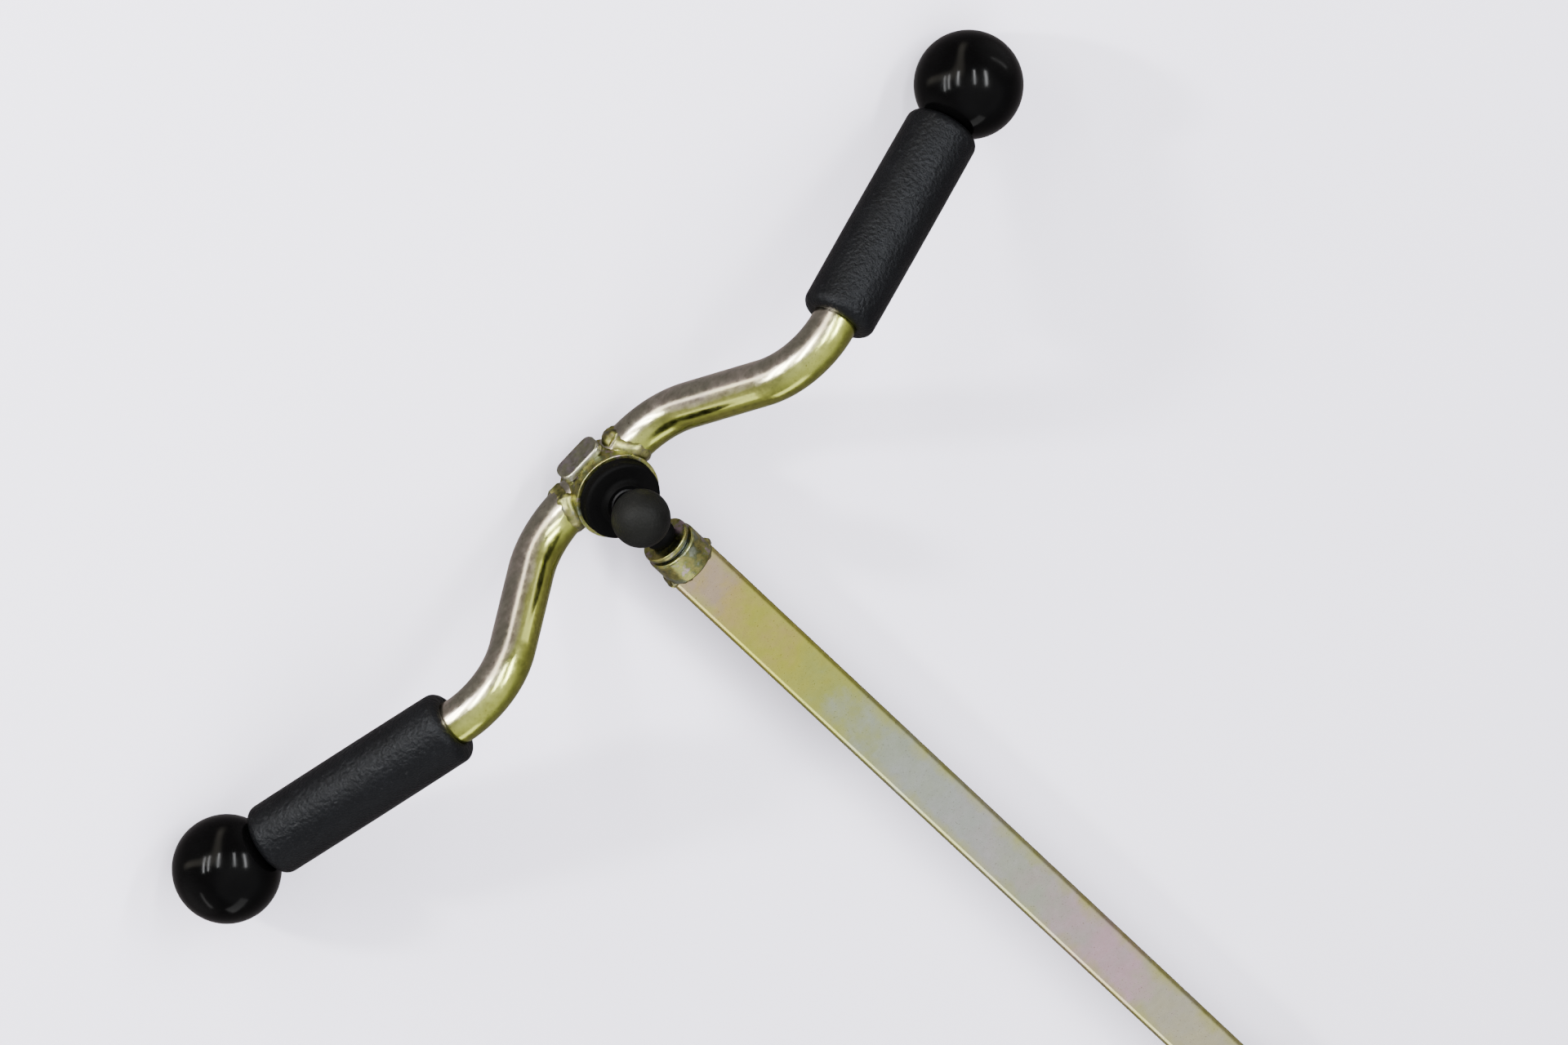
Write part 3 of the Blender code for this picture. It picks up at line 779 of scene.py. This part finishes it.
def squared_ring(width, height, power, steps):
    """Points round a rectangle whose corners are rounder the higher the power."""
    points = []
    for step in range(steps):
        angle = 2 * math.pi * step / steps
        x = width / 2 * math.copysign(abs(math.cos(angle)) ** power, math.cos(angle))
        z = height / 2 * math.copysign(abs(math.sin(angle)) ** power, math.sin(angle))
        points.append((x, z))
    return points


def make_boss_weld():
    """The lumpy bead between the spindle's boss and the bar, which swells out along the bar's middle."""
    ring = []
    for x, z in squared_ring(BAR_WIDTH, BAR_THICK, 0.45, 44):
        middle = max(0.0, 1.0 - (abs(x) / BAR_WIDTH * 2) ** 2)
        ring.append(hub(BOSS_TO - 0.2 + 1.2 * middle, z * 0.9, x * 0.86))
    weld = bead("boss_weld", ring, radius=3.1, seed=11.0, lump=0.45)
    finish_piece(weld, "arm", weld_zinc, "zinc")


def make_drive_weld():
    """The bead round the bar where it meets the round drive boss."""
    ring = []
    for x, z in squared_ring(BAR_WIDTH - 0.8, BAR_THICK, 0.4, 64):
        y = DRIVE_Y + math.sqrt(DRIVE_R ** 2 - x * x) + GAP
        ring.append(Vector((x, y, SPINDLE_Z + z)))
    weld = bead("drive_weld", ring, radius=2.0, seed=15.0)
    finish_piece(weld, "arm", weld_zinc, "zinc")


def paint_cad_pieces():
    """The pieces that keep their CAD shape."""
    for material, nodes in (
        (hub_zinc, ("drive_boss",)),
        (dark_steel, ("drive_lock_screw", "thrust_washer", "spindle", "right_tube_plug", "left_tube_plug",
                      "right_ball_stud", "left_ball_stud")),
        (bronze, ("rear_bush", "front_bush")),
        (black_oxide, ("plunger_guide", "plunger_pin")),
        (spring_steel, ("plunger_spring",)),
        (brass, ("right_ball_insert", "left_ball_insert")),
    ):
        for node in nodes:
            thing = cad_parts[node]
            thing.data.materials.clear()
            thing.data.materials.append(material)


for side_name, side_sign in (("right", 1), ("left", -1)):
    make_side(side_name, side_sign)
make_housing()
make_sleeve()
make_cap()
make_plunger_boot()
make_pull_knob()
make_bellows()
make_spindle_ring("spindle_washer", "spindle_collar", COLLAR_R, COLLAR_FROM, COLLAR_TO, rim=0.8, steps=5)
make_spindle_ring("spindle_end_boss", "spindle_boss", BOSS_R, BOSS_FROM, BOSS_TO, rim=1.2, steps=6)
make_bar()
make_boss_weld()
make_drive_weld()
paint_cad_pieces()


# Studio ------------------------------------------------------------------------------------

# The camera's own directions.
VIEW_BACK = Vector((0.0, 0.5878, 0.8090)).normalized()
VIEW_RIGHT = Vector((0.6871, -0.5878, 0.4272))
VIEW_RIGHT = (VIEW_RIGHT - VIEW_BACK * VIEW_RIGHT.dot(VIEW_BACK)).normalized()
VIEW_UP = VIEW_BACK.cross(VIEW_RIGHT)


def make_floor():
    """Plain pale paper. It isn't mirrored in the metal, which shows the room instead."""
    size = 6.0
    corners = [(-size, -size, 0.0), (size, -size, 0.0), (size, size, 0.0), (-size, size, 0.0)]
    mesh = bpy.data.meshes.new("floor")
    mesh.from_pydata(corners, [], [(0, 1, 2, 3)])
    floor = bpy.data.objects.new("floor", mesh)
    bpy.context.scene.collection.objects.link(floor)
    material, tree, shader = new_material("floor_paper")
    position = tree.nodes.new("ShaderNodeTexCoord").outputs["Object"]
    tone = noise_node(tree, position, 2.0, 2.0, 0.5)
    colour = ramp(tree, tone, [(0.3, (0.768, 0.744, 0.842)), (0.7, (0.783, 0.759, 0.857))])
    tree.links.new(colour, shader.inputs["Base Color"])
    shader.inputs["Roughness"].default_value = 0.9
    shader.inputs["Specular IOR Level"].default_value = 0.1
    mesh.materials.append(material)
    floor.visible_glossy = False


def area_light(name, place, target, width, height, radiance, colour=(1.0, 1.0, 1.0), upright=VIEW_UP):
    """A soft box of even brightness that faces the target, with its height along upright."""
    data = bpy.data.lights.new(name, "AREA")
    data.shape = "RECTANGLE"
    data.size = width
    data.size_y = height
    data.energy = radiance * math.pi * width * height
    data.color = colour
    light = bpy.data.objects.new(name, data)
    back = (Vector(place) - Vector(target)).normalized()
    across = Vector(upright).cross(back).normalized()
    up = back.cross(across)
    light.matrix_world = Matrix((
        (across.x, up.x, back.x, place[0]),
        (across.y, up.y, back.y, place[1]),
        (across.z, up.z, back.z, place[2]),
        (0.0, 0.0, 0.0, 1.0),
    ))
    bpy.context.scene.collection.objects.link(light)
    return light


def window_row():
    """Narrow strips behind the camera, which show as a row of streaks on the end knobs.

    A streak is placed by how far its spot on the knob faces to the right and up, and has a width.
    """
    target = Vector((0.0, 0.2, 0.03))
    distance = 2.6
    streaks = (
        (-0.42, 0.05, 0.12),
        (-0.34, 0.08, 0.12),
        (-0.17, 0.14, 0.16),
        (0.12, 0.16, 0.14),
        (0.32, 0.14, 0.20),
    )
    for index, (right, up, width) in enumerate(streaks):
        normal = VIEW_RIGHT * right + VIEW_UP * up
        normal += VIEW_BACK * math.sqrt(1.0 - normal.length_squared)
        towards = 2.0 * normal.dot(VIEW_BACK) * normal - VIEW_BACK
        place = target + towards * distance
        area_light(f"window_{index}", place, target, width, height=1.3, radiance=75.0,
                   colour=(0.97, 0.98, 1.0))


def make_lights():
    """A small key light from behind, a wide one overhead, and panels for the edges and ends.

    The first two light the floor and the rough surfaces, and aren't mirrored in the metal.
    """
    key = area_light("key", (-1.05, 2.80, 1.09), (0.0, 0.2, 0.0), width=0.2, height=0.2, radiance=1300.0)
    overhead = area_light("overhead", (0.0, 0.0, 3.2), (0.0, 0.0, 0.0), width=3.6, height=3.6,
                          radiance=3.1, colour=(0.985, 0.98, 1.0))
    for light in (key, overhead):
        light.visible_glossy = False
    area_light("edge_light", (-1.7, -1.76, 1.62), (0.0, 0.0, 0.0), width=1.9, height=0.9,
               radiance=3.6, upright=(0.0, 1.0, 0.0))
    for side in (-1, 1):
        area_light(f"wall_{side}", (3.0 * side, 0.0, 0.48), (0.0, 0.2, 0.04), width=1.6, height=0.26,
                   radiance=5.0, upright=UP)


def make_world():
    """A bright ceiling, dim walls that are lighter at both sides, and a window band behind the handlebar."""
    world = bpy.data.worlds.new("studio")
    world.use_nodes = True
    tree = world.node_tree
    direction = tree.nodes.new("ShaderNodeTexCoord").outputs["Generated"]
    x, y, z = (coordinate(tree, direction, axis) for axis in "XYZ")
    room = ramp(tree, z, [
        (0.0, (0.33, 0.30, 0.31)),
        (0.35, (0.34, 0.32, 0.33)),
        (0.60, (0.55, 0.55, 0.58)),
        (0.78, (1.25, 1.25, 1.31)),
        (1.0, (1.35, 1.35, 1.42)),
    ])
    sideways = math_node(tree, "MULTIPLY", x, x)
    walls = ramp(tree, sideways, [(0.60, (0.0, 0.0, 0.0)), (0.92, (0.55, 0.55, 0.55))])
    room = mix(tree, 1.0, room, walls, "ADD")
    bend = 2.0
    arch = math_node(tree, "MULTIPLY_ADD", sideways, bend, z)
    band = ramp(tree, arch, [
        (0.04, (0.0, 0.0, 0.0)),
        (0.24, (1.0, 1.0, 1.0)),
        (0.42, (1.0, 1.0, 1.0)),
        (0.60, (0.0, 0.0, 0.0)),
    ])
    glow = (4.9, 4.6, 3.9)
    behind = ramp(tree, y, [(0.45, (0.0, 0.0, 0.0)), (0.70, glow)])
    windows = mix(tree, 1.0, band, behind, "MULTIPLY")
    tone = mix(tree, 1.0, room, windows, "ADD")
    tree.links.new(tone, tree.nodes["Background"].inputs["Color"])
    tree.nodes["Background"].inputs["Strength"].default_value = 1.0
    bpy.context.scene.world = world


def make_camera():
    """A long lens from behind the handlebar and above it, with the arm running away to the lower right."""
    distance = 6.0
    frame_width = 0.7104
    hub_left_of_centre = 0.0844
    hub_above_centre = 0.0207
    centre = hub(0.0) * MM + VIEW_RIGHT * hub_left_of_centre - VIEW_UP * hub_above_centre
    place = centre + VIEW_BACK * distance
    data = bpy.data.cameras.new("camera")
    data.sensor_width = 36.0
    data.lens = data.sensor_width * distance / frame_width
    data.clip_start = 0.1
    data.clip_end = 100.0
    camera = bpy.data.objects.new("camera", data)
    camera.matrix_world = Matrix((
        (VIEW_RIGHT.x, VIEW_UP.x, VIEW_BACK.x, place.x),
        (VIEW_RIGHT.y, VIEW_UP.y, VIEW_BACK.y, place.y),
        (VIEW_RIGHT.z, VIEW_UP.z, VIEW_BACK.z, place.z),
        (0.0, 0.0, 0.0, 1.0),
    ))
    bpy.context.scene.collection.objects.link(camera)
    bpy.context.scene.camera = camera


make_floor()
make_world()
make_camera()
window_row()
make_lights()
